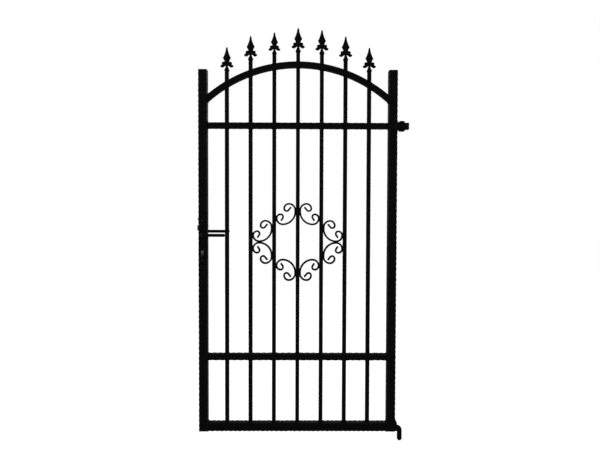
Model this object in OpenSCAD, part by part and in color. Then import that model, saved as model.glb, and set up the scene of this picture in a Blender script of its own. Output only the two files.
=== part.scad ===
// Single garden gate leaf: square-tube frame with an arched head, upright bars that end
// in spear heads, an eight-scroll ornament, a lever lock and a pin hinge.
// The origin is the middle of the flat face of the hinge bracket, where it meets a post.
// +X runs from the leaf towards that post, -Y is the front, +Z is up.

/* [Leaf] */
// Width over both stiles
leaf_w = 960; // [860:1:1100]
// Height of the stiles
leaf_h = 1761; // [1700:1:1900]
// Width of a stile, across the leaf
stile_w = 40; // [38:1:50]
// Depth of a stile, front to back
stile_d = 40; // [36:1:50]
// Wall of every tube
tube_wall = 2; // [1.5:0.5:3]
// Thickness of the plate that closes the top of a stile
cap_t = 2; // [1:0.5:6]

/* [Rails] */
// Height of the bottom rail
bottom_rail_h = 40; // [30:1:60]
// Depth of the bottom rail
bottom_rail_d = 30; // [24:1:36]
// Height of the upper rail
upper_rail_h = 27; // [20:1:40]
// Height of the lower rail
lower_rail_h = 30; // [20:1:40]
// Depth of the two middle rails and of the arch
rail_d = 25; // [22:1:36]
// Height of the middle of the lower rail
lower_rail_z = 365; // [250:1:450]
// Distance from the top of the stiles down to the middle of the upper rail
upper_rail_drop = 267; // [240:1:300]
// Thickness of the arch, seen from the front
arch_t = 26; // [20:1:36]
// Outer radius of the arch
arch_r = 684; // [600:1:800]
// How far the top of the arch stands above the stiles
arch_rise = 40; // [20:1:70]

/* [Bars] */
// Side of the square bars
bar_w = 17; // [12:0.5:18]
// Distance between the middles of two bars
bar_pitch = 115; // [105:0.5:120]
// Length of bar that shows above the arch
bar_above_arch = 43; // [25:1:60]
// Room around a bar in a rail's hole, each side
bar_clear = 0.2; // [0.1:0.05:0.5]

/* [Spear heads] */
// Height of a spear head above its bar
spear_h = 121; // [100:1:150]
// Width of the blade at its widest
blade_w = 38; // [28:1:46]
// Thickness of the blade at its ridge
blade_t = 15; // [12:0.5:18]
// Width over the tips of the two curled leaves
leaves_w = 64; // [54:1:72]
// Thickness of the curled leaves
leaves_t = 10; // [6:0.5:14]
// Width of the collar at its edge
collar_w = 26; // [24:0.5:32]
// Width of the neck under the leaves
neck_w = 11; // [8:0.5:14]
// Size of the one smaller casting, beside the middle bar, against the others
small_spear = 0.9; // [0.8:0.01:1]

/* [Scrolls] */
// Height of the middle of the ornament
ornament_z = 929; // [850:1:1000]
// How far the inner scrolls stand above and below that middle
inner_rise = 83; // [40:1:110]
// Thickness of the scroll strip
strip_t = 7; // [4:0.5:8]
// Depth of the scroll strip
strip_d = 12; // [8:1:20]
// Radius of the first turn of the small curl
small_curl_r = 29.5; // [24:0.5:34]
// Radius of the first turn of the large curl
large_curl_r = 31; // [28:0.5:36]
// Straight stretch of the scroll's back
back_straight = 8; // [4:1:30]
// Room between a scroll and what it is welded to
weld_gap = 0.2; // [0.1:0.05:0.4]

/* [Lock] */
// Height of the lever's spindle
spindle_z = 971; // [940:1:980]
// Distance from the spindle down to the key cylinder
lock_centres = 90; // [72:0.5:92]
// Height of the lower end of the lock's face strip
forend_z = 822; // [790:1:835]
// Length of the lock's face strip
forend_h = 223; // [215:1:260]
// Width of the lock's face strip
forend_w = 22; // [18:0.5:28]
// Thickness of the lock's face strip
forend_t = 2.2; // [1.5:0.1:4]
// Thickness of the lock case, front to back
case_t = 16; // [15:0.5:18]
// How much shorter the case is than its face strip, at each end
case_inset = 14; // [10:1:20]
// Height of the latch bolt's middle above the spindle
latch_rise = 26; // [23:0.5:32]
// Height of the latch bolt
latch_h = 26; // [18:0.5:27]
// Width of the latch bolt, front to back
latch_w = 11; // [8:0.5:12]
// How far the latch bolt stands out of the face strip
latch_out = 9; // [6:0.5:10]
// Running room around the latch bolt, each side
latch_clear = 0.4; // [0.2:0.1:0.6]
// Width of a lock plate
plate_w = 34; // [30:0.5:38]
// Height of a lock plate
plate_h = 222; // [210:1:240]
// Thickness of a lock plate
plate_t = 6; // [3:0.5:9]
// Corner radius of a lock plate
plate_corner = 7; // [3:0.5:12]
// How far the middle of a plate lies below the spindle
plate_drop = 32; // [22:1:34]
// Radius of the round part of the key cylinder
key_r = 8.5; // [8:0.1:9]
// Width of the flat part of the key cylinder
key_flat_w = 10; // [9:0.1:11]
// Height of the key cylinder
key_h = 33; // [31:0.5:35]
// How far the key cylinder stands out of the plates
key_out = 3; // [1:0.5:8]
// Room around the key cylinder, each side
key_clear = 0.3; // [0.1:0.1:0.6]

/* [Lever handles] */
// Distance of a lever's grip from the middle of the leaf
lever_reach = 80; // [70:1:95]
// Length of a lever, from the spindle
lever_l = 117; // [100:1:140]
// Radius of the lever's round rod
lever_r = 7.2; // [6.5:0.1:8.5]
// Bend radius of the lever, on the middle of the rod
lever_bend_r = 18; // [14:0.5:24]
// Tilt of a lever's neck; one lever serves both sides, so the back grip is raised and the front one lowered
lever_tilt = 7.8; // [0:0.1:10]
// Radius of the lever's hub
hub_r = 9.5; // [9:0.1:11]
// How far the hub stands out of the plate
hub_out = 6; // [3:0.5:10]
// Running room around a hub
hub_clear = 0.3; // [0.1:0.05:0.6]
// Side of the square spindle
spindle_w = 8; // [7:0.5:9]
// How far the spindle reaches into a lever, past the plate's face
spindle_in = 10; // [8:1:14]

/* [Upper hinge] */
// Radius of the fork's ears
ear_r = 14; // [12:0.5:17]
// Thickness of an ear
ear_t = 7.5; // [6:0.5:12]
// Radius of the post bracket's eye
eye_r = 11; // [9:0.5:13]
// Height of the post bracket's eye
eye_h = 32; // [26:0.5:40]
// Room between the eye and the fork
eye_clear = 0.6; // [0.3:0.1:1]
// Radius of the hinge pin
pin_r = 6; // [5:0.1:7]
// Radial running room of the pin in the eye
pin_clear = 0.05; // [0.02:0.01:0.09]
// Thickness of the fork's back
fork_back_t = 6; // [5:0.5:10]
// How far the fork's gusset stands out of the stile
gusset_out = 8; // [6:0.5:14]
// Height of the gusset on the stile
gusset_h = 62; // [54:1:80]
// Distance from the hinge axis to the flat face of the post bracket
bracket_reach = 33; // [31:0.5:60]
// Depth of the post bracket's block, front to back
bracket_d = 24; // [20:1:28]
// Depth of the post bracket between its eye and its block
eye_neck_d = 16; // [12:1:18]
// Depth of the fork's gusset and back, front to back
fork_d = 24; // [20:1:26]

/* [Lower pivot] */
// Radius of the pivot rod
pivot_r = 12; // [9:0.5:14]
// How far the pivot rod reaches below the leaf
pivot_drop = 52; // [40:1:80]
// Height of the rod's upper leg
pivot_leg_z = 14; // [13:0.5:20]
// How far under the leaf's foot the rod's bend ends
bend_below = 1; // [0.5:0.5:3]
// Height of the lug that holds the rod
lug_h = 48; // [40:1:60]
// Wall of the lug beside the rod
lug_wall = 4; // [3:0.5:6]
// Seat room around the rod in the lug
pivot_clear = 0.1; // [0.05:0.05:0.3]

/* [Hidden] */
$fn = 48;

black = [0.03, 0.03, 0.035];
steel = [0.45, 0.45, 0.46];
brass = [0.55, 0.42, 0.22];

// A cut runs this far past the face that it opens
past = 1;
// Number of upright bars, with the middle one on the leaf's centre line
bars = 7;
middle_bar = (bars + 1) / 2;
// The smaller casting stands on this bar
small_spear_bar = 3;
// Points along one bend of a scroll
bend_steps = 14;

// Frame
inner_half = leaf_w / 2 - stile_w;
lock_x = -(leaf_w - stile_w) / 2;
hinge_x = (leaf_w - stile_w) / 2;
upper_rail_z = leaf_h - upper_rail_drop;
arch_top_z = leaf_h + arch_rise;
arch_mid_z = arch_top_z - arch_r;
bar_hole = bar_w + 2 * bar_clear;

// Upper hinge: the axis lies as far out as the gusset, the fork's back and the eye need
axis_x = leaf_w / 2 + gusset_out + fork_back_t + eye_clear + eye_r;
post_x = axis_x + bracket_reach;
fork_gap = eye_h + 2 * eye_clear;
fork_h = fork_gap + 2 * ear_t;
ear_chamfer = ear_t / 2;

// Lower pivot: the bend ends under the lug, so that a socket clears it; the lug ends where the bend starts
pivot_bend_r = pivot_leg_z + bend_below;
lug_out = axis_x - leaf_w / 2 - pivot_bend_r;

// Lock
case_z = forend_z + case_inset;
case_h = forend_h - 2 * case_inset;
case_gap = 2;
case_l = stile_w - tube_wall - case_gap;
follower_r = spindle_w * 0.5 * sqrt(2) + 3;
key_z = spindle_z - lock_centres;
latch_z = spindle_z + latch_rise;
latch_bevel = latch_out;
latch_l = forend_t + case_l - latch_clear;
plate_face = stile_d / 2 + plate_t;
plate_mid_z = spindle_z - plate_drop;

// Scrolls: the main bend takes what the strip and the small curl leave of a bay
bay_w = bar_pitch - bar_w;
main_bend_r = bay_w - 2 * weld_gap - strip_t - small_curl_r;
// Each step of the strip is [radius, angle turned to the right], or [0, straight length]
scroll_steps = [[0, 0.64 * large_curl_r], [0.39 * large_curl_r, 141], [0.74 * large_curl_r, 90],
    [large_curl_r, 90], [0, back_straight], [main_bend_r, 90], [small_curl_r, 90],
    [0.66 * small_curl_r, 90], [0.41 * small_curl_r, 124], [0, 0.54 * small_curl_r]];
scroll_start_heading = 231;

// Height of the arch's outer face above a place across the leaf
function arch_over(x) = arch_mid_z + sqrt(arch_r * arch_r - x * x);
// Place of a bar across the leaf
function bar_x(n) = (n - middle_bar) * bar_pitch;
function bar_end_z(n) = arch_over(bar_x(n)) + bar_above_arch;

// Unit step along a heading, and the direction to its right
function along(h) = [cos(h), sin(h)];
function right_of(h) = [sin(h), -cos(h)];
// Points [place, heading] along one step that starts at p with heading h
function step_points(p, h, s) =
    s[0] == 0
    ? [[p, h], [p + s[1] * along(h), h]]
    : [for (i = [0:bend_steps])
        let (turned = h - s[1] * i / bend_steps)
        [p + s[0] * (right_of(h) - right_of(turned)), turned]];
// All points along the strip, step after step
function walk(steps, p, h, i = 0) =
    i == len(steps)
    ? []
    : let (points = step_points(p, h, steps[i]), last = points[len(points) - 1])
        concat([for (k = [(i == 0 ? 0 : 1):len(points) - 1]) points[k]],
            walk(steps, last[0], last[1], i + 1));
scroll_path = walk(scroll_steps, [0, 0], scroll_start_heading);
scroll_back_x = max([for (q = scroll_path) q[0][0]]) + strip_t / 2;
scroll_foot_z = min([for (q = scroll_path) q[0][1]]) - strip_t / 2;

// Places the leaf, drawn about the middle of its lower edge, in the part's frame
module in_frame() {
    translate([-post_x, 0, -upper_rail_z]) children();
}

// Extrudes an outline drawn in the leaf's plane, X across and Y up, to a depth
module upright(depth) {
    rotate([90, 0, 0]) linear_extrude(depth, center = true) children();
}

module square_tube(size, hollow_axis) {
    wall = 2 * tube_wall;
    hollow = [for (i = [0:2]) i == hollow_axis ? size[i] + 2 * past : size[i] - wall];
    difference() {
        cube(size, center = true);
        cube(hollow, center = true);
    }
}

// Outline of the key cylinder: round above, flat-sided below, grown by a margin
module key_outline(grow) {
    foot_r = key_flat_w / 2;
    union() {
        circle(key_r + grow);
        translate([-foot_r - grow, key_r + foot_r - key_h])
            square([key_flat_w + 2 * grow, key_h - key_r - foot_r]);
        translate([0, key_r + foot_r - key_h]) circle(foot_r + grow);
    }
}

module key_hole(grow, depth) {
    translate([lock_x, 0, key_z]) upright(depth) key_outline(grow);
}

module stile(x) {
    tube_h = leaf_h - cap_t;
    translate([x, 0, tube_h / 2]) square_tube([stile_w, stile_d, tube_h], 2);
}

module stile_cap(x) {
    color(black) translate([x - stile_w / 2, -stile_d / 2, leaf_h - cap_t]) cube([stile_w, stile_d, cap_t]);
}

module lock_stile() {
    slot_w = case_t + 2 * latch_clear;
    slot_h = case_h + 2 * latch_clear;
    color(black) difference() {
        stile(lock_x);
        translate([-leaf_w / 2 - past, -slot_w / 2, case_z - latch_clear])
            cube([tube_wall + 2 * past, slot_w, slot_h]);
        translate([lock_x, 0, spindle_z]) rotate([90, 0, 0])
            cylinder(r = hub_r + past, h = stile_d + 2 * past, center = true);
        key_hole(past, stile_d + 2 * past);
    }
}

module hinge_stile() {
    color(black) stile(hinge_x);
}

// Square holes for the bars, through everything between two heights
module bar_holes(low, high) {
    for (n = [1:bars])
        translate([bar_x(n) - bar_hole / 2, -bar_hole / 2, low])
            cube([bar_hole, bar_hole, high - low]);
}

module bottom_rail() {
    color(black) translate([0, 0, bottom_rail_h / 2])
        square_tube([2 * inner_half, bottom_rail_d, bottom_rail_h], 0);
}

module middle_rail(z, height) {
    color(black) difference() {
        translate([0, 0, z]) square_tube([2 * inner_half, rail_d, height], 0);
        bar_holes(z - height / 2 - past, z + height / 2 + past);
    }
}

module arch_rail() {
    arch_span = 2 * asin(inner_half / (arch_r - arch_t)) + 4;
    arch_low_z = arch_mid_z + sqrt(pow(arch_r - arch_t, 2) - inner_half * inner_half) - arch_t;
    color(black) difference() {
        intersection() {
            translate([0, 0, arch_mid_z]) rotate([90, 0, 0]) rotate([0, 0, 90 - arch_span / 2])
                rotate_extrude(angle = arch_span, $fn = 240)
                    difference() {
                        translate([arch_r - arch_t, -rail_d / 2]) square([arch_t, rail_d]);
                        translate([arch_r - arch_t + tube_wall, -rail_d / 2 + tube_wall])
                            square([arch_t - 2 * tube_wall, rail_d - 2 * tube_wall]);
                    }
            translate([-inner_half, -rail_d, arch_low_z])
                cube([2 * inner_half, 2 * rail_d, arch_top_z - arch_low_z + past]);
        }
        bar_holes(arch_low_z, arch_top_z + past);
    }
}

module bar(n) {
    color(black) translate([bar_x(n) - bar_w / 2, -bar_w / 2, bottom_rail_h])
        cube([bar_w, bar_w, bar_end_z(n) - bottom_rail_h]);
}

// Blade of a spear head: the front outline, the side outline and the ridge, cut together
module blade() {
    waist_z = 0.36 * spear_h;
    widest_z = 0.56 * spear_h;
    shoulder_z = 0.77 * spear_h;
    tip_w = 4;
    waist_w = 0.58 * blade_w;
    intersection() {
        upright(blade_t)
            polygon([[-waist_w / 2, waist_z], [waist_w / 2, waist_z],
                [0.9 * waist_w / 2, 0.43 * spear_h], [blade_w / 2, widest_z],
                [0.46 * blade_w / 2, shoulder_z], [tip_w / 2, spear_h],
                [-tip_w / 2, spear_h], [-0.46 * blade_w / 2, shoulder_z],
                [-blade_w / 2, widest_z], [-0.9 * waist_w / 2, 0.43 * spear_h]]);
        rotate([0, 0, 90]) upright(blade_w)
            polygon([[-0.7 * blade_t / 2, waist_z], [0.7 * blade_t / 2, waist_z],
                [blade_t / 2, widest_z], [tip_w / 2, spear_h],
                [-tip_w / 2, spear_h], [-blade_t / 2, widest_z]]);
        linear_extrude(spear_h + past)
            polygon([[-0.62 * blade_w, 0], [0, -blade_t / 2], [0.62 * blade_w, 0], [0, blade_t / 2]]);
    }
}

// One curled leaf: a round hump that turns down and flares out to a tip
module curled_leaf() {
    hump_r = 0.145 * leaves_w;
    hump_x = 0.25 * leaves_w;
    hump_z = 0.315 * spear_h;
    tip_r = 0.05 * leaves_w;
    tip_x = leaves_w / 2 - tip_r;
    tip_z = 0.225 * spear_h;
    upright(leaves_t) union() {
        translate([hump_x, hump_z]) circle(hump_r);
        translate([tip_x, tip_z]) circle(tip_r);
        polygon([[0, 0.2 * spear_h], [0.14 * leaves_w, 0.225 * spear_h],
            [0.32 * leaves_w, tip_z - 1.1 * tip_r], [tip_x, tip_z - tip_r],
            [tip_x, tip_z + tip_r], [hump_x + 0.85 * hump_r, hump_z - 0.5 * hump_r],
            [hump_x, hump_z + 0.9 * hump_r], [0, 0.42 * spear_h]]);
    }
}

// Spear head that stands on the end of a bar
module spear(n) {
    size = n == small_spear_bar ? small_spear : 1;
    seat_r = 0.37 * collar_w;
    color(black) translate([bar_x(n), 0, bar_end_z(n)]) scale(size) union() {
        rotate_extrude()
            polygon([[0, 0], [seat_r, 0], [collar_w / 2, 0.06 * spear_h],
                [collar_w / 2, 0.075 * spear_h], [neck_w / 2, 0.2 * spear_h],
                [neck_w / 2, 0.38 * spear_h], [0, 0.38 * spear_h]]);
        curled_leaf();
        mirror([1, 0, 0]) curled_leaf();
        blade();
    }
}

// Outline of a scroll, with its back on the line X = 0 and its foot on the line Y = 0
module scroll_outline() {
    half = strip_t / 2;
    translate([-scroll_back_x, -scroll_foot_z])
        polygon(concat([for (q = scroll_path) q[0] - half * right_of(q[1])],
            [for (i = [len(scroll_path) - 1:-1:0]) scroll_path[i][0] + half * right_of(scroll_path[i][1])]));
}

// A scroll with its back against a bar, side -1 left or 1 right, above (1) or below (-1) the middle
module scroll(back_x, rise, side, up) {
    color(black) translate([0, 0, ornament_z])
        mirror([side < 0 ? 0 : 1, 0, 0]) mirror([0, 0, up < 0 ? 1 : 0])
            translate([-back_x - weld_gap, 0, rise]) upright(strip_d) scroll_outline();
}

module inner_scroll(side, up) {
    scroll(bar_w / 2, inner_rise, side, up);
}

module outer_scroll(side, up) {
    scroll(bar_pitch + bar_w / 2, weld_gap / 2, side, up);
}

// Channel of the latch bolt through the face strip and the case
module latch_channel() {
    translate([-leaf_w / 2 - forend_t - past,
               -latch_w / 2 - latch_clear,
               latch_z - latch_h / 2 - latch_clear])
        cube([stile_w, latch_w + 2 * latch_clear, latch_h + 2 * latch_clear]);
}

module lock_case() {
    color(steel) difference() {
        translate([-leaf_w / 2, -case_t / 2, case_z]) cube([case_l, case_t, case_h]);
        latch_channel();
        translate([lock_x, 0, spindle_z]) rotate([90, 0, 0])
            cylinder(r = follower_r + pin_clear, h = case_t + 2 * past, center = true);
        key_hole(key_clear, case_t + 2 * past);
    }
}

module lock_forend() {
    color(black) difference() {
        translate([-leaf_w / 2 - forend_t, -forend_w / 2, forend_z]) cube([forend_t, forend_w, forend_h]);
        latch_channel();
    }
}

module key_cylinder() {
    color(brass) key_hole(0, 2 * (plate_face + key_out));
}

// Upright plate with round corners, drawn about its middle
module plate_outline() {
    flat_w = plate_w - 2 * plate_corner;
    flat_h = plate_h - 2 * plate_corner;
    union() {
        square([plate_w, flat_h], center = true);
        square([flat_w, plate_h], center = true);
        for (x = [-flat_w / 2, flat_w / 2], y = [-flat_h / 2, flat_h / 2])
            translate([x, y]) circle(plate_corner);
    }
}

// Lock plate on one face of the stile, side -1 front or 1 back
module lock_plate(side) {
    color(black) difference() {
        translate([lock_x, side * (stile_d + plate_t) / 2, plate_mid_z]) upright(plate_t) plate_outline();
        translate([lock_x, 0, spindle_z]) rotate([90, 0, 0])
            cylinder(r = hub_r + hub_clear, h = 2 * (plate_face + past), center = true);
        key_hole(key_clear, 2 * (plate_face + past));
    }
}

// Round-rod lever, drawn on the back face with its spindle on the Y axis
module lever_shape(tilt) {
    hub_end = plate_face + hub_out;
    neck_in = 2 * past;
    neck_l = lever_reach - lever_bend_r - hub_end;
    grip_l = lever_l - lever_bend_r;
    hole_w = spindle_w + 2 * pin_clear;
    difference() {
        union() {
            translate([0, stile_d / 2, 0]) rotate([-90, 0, 0])
                cylinder(r = hub_r, h = hub_end - stile_d / 2);
            translate([0, hub_end, 0]) rotate([tilt, 0, 0]) {
                translate([0, -neck_in, 0]) rotate([-90, 0, 0]) cylinder(r = lever_r, h = neck_in + neck_l);
                translate([lever_bend_r, neck_l, 0]) rotate([0, 0, 90])
                    rotate_extrude(angle = 90) translate([lever_bend_r, 0]) circle(lever_r);
                translate([lever_bend_r, neck_l + lever_bend_r, 0]) rotate([0, 90, 0])
                    round_end_rod(lever_r, grip_l);
            }
        }
        cube([hole_w, 2 * (plate_face + spindle_in), hole_w], center = true);
    }
}

// Rod along Z with a round far end
module round_end_rod(r, l) {
    rotate_extrude() intersection() {
        union() {
            square([r, l - r]);
            translate([0, l - r]) circle(r);
        }
        square([r, l]);
    }
}

module front_lever() {
    color(black) translate([lock_x, 0, spindle_z]) mirror([0, 1, 0]) lever_shape(-lever_tilt);
}

module back_lever() {
    color(black) translate([lock_x, 0, spindle_z]) lever_shape(lever_tilt);
}

// Square spindle with the round follower that turns in the lock case
module lever_spindle() {
    spindle_l = 2 * (plate_face + spindle_in - pin_clear);
    color(steel) translate([lock_x, 0, spindle_z]) union() {
        cube([spindle_w, spindle_l, spindle_w], center = true);
        rotate([90, 0, 0]) cylinder(r = follower_r, h = case_t, center = true);
    }
}

// Latch bolt with its nose bevelled on the front
module latch_bolt() {
    nose_x = -leaf_w / 2 - forend_t - latch_out;
    flat = latch_w * 0.25;
    color(steel) translate([nose_x, 0, latch_z - latch_h / 2]) linear_extrude(latch_h)
        polygon([[0, latch_w / 2], [0, latch_w / 2 - flat], [latch_bevel, -latch_w / 2],
            [latch_l, -latch_w / 2], [latch_l, latch_w / 2]]);
}

// Upper ear of the fork, chamfered on its outer edge, with the arm that ties it to the back
module fork_arm() {
    arm_l = eye_r + eye_clear;
    translate([0, 0, fork_gap / 2]) {
        rotate_extrude()
            polygon([[0, 0], [ear_r, 0], [ear_r, ear_t - ear_chamfer],
                     [ear_r - ear_chamfer, ear_t], [0, ear_t]]);
        translate([-arm_l, -fork_d / 2, 0]) cube([arm_l, fork_d, ear_t - ear_chamfer]);
    }
}

// Fork on the hinge stile: a tapered gusset, a back and two ears
module hinge_fork() {
    back_x = leaf_w / 2 + gusset_out;
    color(black) difference() {
        union() {
            translate([leaf_w / 2, 0, upper_rail_z]) upright(fork_d)
                polygon([[0, -gusset_h / 2], [gusset_out, -fork_h / 2],
                         [gusset_out, fork_h / 2], [0, gusset_h / 2]]);
            translate([back_x, -fork_d / 2, upper_rail_z - fork_h / 2]) cube([fork_back_t, fork_d, fork_h]);
            for (lower = [0, 1])
                translate([axis_x, 0, upper_rail_z]) mirror([0, 0, lower]) fork_arm();
        }
        translate([axis_x, 0, upper_rail_z])
            cylinder(r = pin_r + pin_clear, h = fork_h + 2 * past, center = true);
    }
}

module hinge_pin() {
    color(steel) translate([axis_x, 0, upper_rail_z]) cylinder(r = pin_r, h = fork_h, center = true);
}

// Eye around the hinge pin with a block that ends in the flat face on the post
module post_bracket() {
    block_x = axis_x + ear_r + eye_clear;
    color(black) translate([0, 0, upper_rail_z]) difference() {
        union() {
            translate([axis_x, 0, 0]) cylinder(r = eye_r, h = eye_h, center = true);
            translate([axis_x, -eye_neck_d / 2, -eye_h / 2]) cube([block_x - axis_x, eye_neck_d, eye_h]);
            translate([block_x, -bracket_d / 2, -eye_h / 2]) cube([post_x - block_x, bracket_d, eye_h]);
        }
        translate([axis_x, 0, 0]) cylinder(r = pin_r + pin_clear, h = eye_h + 2 * past, center = true);
    }
}

// Lug welded to the foot of the hinge stile, bored for the pivot rod
module pivot_lug() {
    lug_d = 2 * (pivot_r + lug_wall);
    color(black) translate([leaf_w / 2, 0, 0]) difference() {
        upright(lug_d)
            polygon([[0, 0], [lug_out, 0], [lug_out, 0.7 * lug_h], [0.6 * lug_out, lug_h], [0, lug_h]]);
        translate([-past, 0, pivot_leg_z]) rotate([0, 90, 0])
            cylinder(r = pivot_r + pivot_clear, h = lug_out + 2 * past);
    }
}

// Rod that leaves the lug, bends down and ends in the round pivot
module pivot_rod() {
    bend_x = leaf_w / 2 + lug_out;
    bend_z = pivot_leg_z - pivot_bend_r;
    color(black) union() {
        translate([leaf_w / 2, 0, pivot_leg_z]) rotate([0, 90, 0]) cylinder(r = pivot_r, h = lug_out);
        translate([bend_x, 0, bend_z]) rotate([90, 0, 0])
            rotate_extrude(angle = 90) translate([pivot_bend_r, 0]) circle(pivot_r);
        translate([axis_x, 0, bend_z]) rotate([180, 0, 0]) round_end_rod(pivot_r, pivot_drop + bend_z);
    }
}

in_frame() post_bracket();
in_frame() hinge_fork();
in_frame() hinge_pin();
in_frame() pivot_lug();
in_frame() pivot_rod();
in_frame() lock_stile();
in_frame() hinge_stile();
in_frame() stile_cap(lock_x);  // lock_stile_cap
in_frame() stile_cap(hinge_x);  // hinge_stile_cap
in_frame() bottom_rail();
in_frame() middle_rail(lower_rail_z, lower_rail_h);  // lower_rail
in_frame() middle_rail(upper_rail_z, upper_rail_h);  // upper_rail
in_frame() arch_rail();
for (n = [1:bars]) {
    in_frame() bar(n);
    in_frame() spear(n);
}
in_frame() inner_scroll(-1, 1);  // scroll_top_left
in_frame() inner_scroll(1, 1);  // scroll_top_right
in_frame() inner_scroll(-1, -1);  // scroll_bottom_left
in_frame() inner_scroll(1, -1);  // scroll_bottom_right
in_frame() outer_scroll(-1, 1);  // scroll_left_upper
in_frame() outer_scroll(-1, -1);  // scroll_left_lower
in_frame() outer_scroll(1, 1);  // scroll_right_upper
in_frame() outer_scroll(1, -1);  // scroll_right_lower
in_frame() lock_case();
in_frame() lock_forend();
in_frame() key_cylinder();
in_frame() lock_plate(-1);  // front_lock_plate
in_frame() lock_plate(1);  // back_lock_plate
in_frame() front_lever();
in_frame() back_lever();
in_frame() lever_spindle();
in_frame() latch_bolt();
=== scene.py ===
# %% [markdown]
# # A black garden gate leaf
# This lesson dresses one steel gate leaf: a frame of hammered square tube with an arched head, seven
# bars with cast spear heads, an ornament of bent strip, a lever lock and a pin hinge. The sizes come
# from a CAD model that is loaded first and never moved. Every new surface is a grid of points worked
# out with numpy, so each shape can be read as a formula.

# %% Load the CAD frame
import math

import bmesh
import bpy
import numpy as np
from mathutils import Matrix, Vector


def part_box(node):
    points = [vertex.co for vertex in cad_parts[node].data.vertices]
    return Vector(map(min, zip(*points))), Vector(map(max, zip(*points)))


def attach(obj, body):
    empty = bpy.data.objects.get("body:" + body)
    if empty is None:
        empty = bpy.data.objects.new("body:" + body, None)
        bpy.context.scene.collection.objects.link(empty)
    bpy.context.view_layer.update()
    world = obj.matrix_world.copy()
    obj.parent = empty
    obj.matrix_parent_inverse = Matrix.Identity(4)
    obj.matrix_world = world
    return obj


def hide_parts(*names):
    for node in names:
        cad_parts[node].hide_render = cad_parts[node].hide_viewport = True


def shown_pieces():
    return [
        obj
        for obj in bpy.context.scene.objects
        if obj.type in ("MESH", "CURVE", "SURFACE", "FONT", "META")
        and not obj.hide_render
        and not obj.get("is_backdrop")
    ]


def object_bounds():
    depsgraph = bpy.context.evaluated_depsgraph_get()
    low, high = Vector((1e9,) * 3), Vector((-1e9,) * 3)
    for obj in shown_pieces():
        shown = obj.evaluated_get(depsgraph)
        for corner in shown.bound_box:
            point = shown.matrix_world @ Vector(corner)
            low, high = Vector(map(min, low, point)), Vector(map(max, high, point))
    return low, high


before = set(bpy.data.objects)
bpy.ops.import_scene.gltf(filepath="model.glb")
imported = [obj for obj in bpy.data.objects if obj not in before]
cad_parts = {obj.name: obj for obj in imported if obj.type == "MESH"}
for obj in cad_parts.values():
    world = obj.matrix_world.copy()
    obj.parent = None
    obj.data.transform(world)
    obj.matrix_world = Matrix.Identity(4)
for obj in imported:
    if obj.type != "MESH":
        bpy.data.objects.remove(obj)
cad_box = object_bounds()

# %% [markdown]
# ## A frame to draw in
# A gate maker measures from the foot of the leaf, in millimetres, so the shapes below are drawn that
# way: x across from the middle of the leaf, y from front to back, z up from its foot. One function then
# carries them into the shared frame, which is in metres and has its origin on the hinge's flat face.

# %% Leaf millimetres to frame metres
MM = 0.001
FOOT = np.array([(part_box("lock_stile")[0].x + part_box("hinge_stile")[1].x) / 2, 0.0,
                 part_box("lock_stile")[0].z])
X, Y, Z = np.eye(3)


def to_frame(points):
    """A thousandth of each coordinate, plus the place of the middle of the leaf's foot."""
    return np.asarray(points, float) * MM + FOOT


def span(node):
    """Lowest and highest corner of a CAD node in leaf millimetres, and the middle between them."""
    low, high = ((np.array(corner) - FOOT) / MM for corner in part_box(node))
    return low, high, (low + high) / 2


print("leaf foot at", np.round(FOOT, 4), "stile box", *np.round(span("lock_stile")[:2], 1))

# %% [markdown]
# ## Paint and metal
# The steel is dipped, then coated in black. Close up such a coat is not one flat colour: it has a fine
# orange peel, its gloss changes from patch to patch, and it is a little thinner on ridges that get
# knocked. These finishes are built from noise on Object coordinates, so they stay put when the leaf
# swings. A number that is the same all over goes straight into the shader's socket.

# %% A helper for shader nodes
def add_node(tree, kind, **values):
    """A shader node of that kind, with the named inputs set; a tuple (node, output) becomes a link."""
    made = tree.nodes.new("ShaderNode" + kind)
    for name, value in values.items():
        socket = made.inputs[int(name[1:])] if name[0] == "_" else made.inputs[name.replace("_", " ")]
        if isinstance(value, tuple) and isinstance(value[0], bpy.types.Node):
            tree.links.new(value[0].outputs[value[1]], socket)
        else:
            socket.default_value = value
    return made


def new_finish(name):
    """An empty material with one Principled shader; returns the material, its tree and that shader."""
    finish = bpy.data.materials.new(name)
    finish.use_nodes = True
    return finish, finish.node_tree, finish.node_tree.nodes["Principled BSDF"]


print("finishes are built from", add_node.__name__, "and", new_finish.__name__)

# %% Black paint, on tubes, on castings and on fittings
PAINT = (0.0022, 0.0022, 0.0027, 1)
WORN_PAINT = (0.0075, 0.0075, 0.008, 1)


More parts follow.
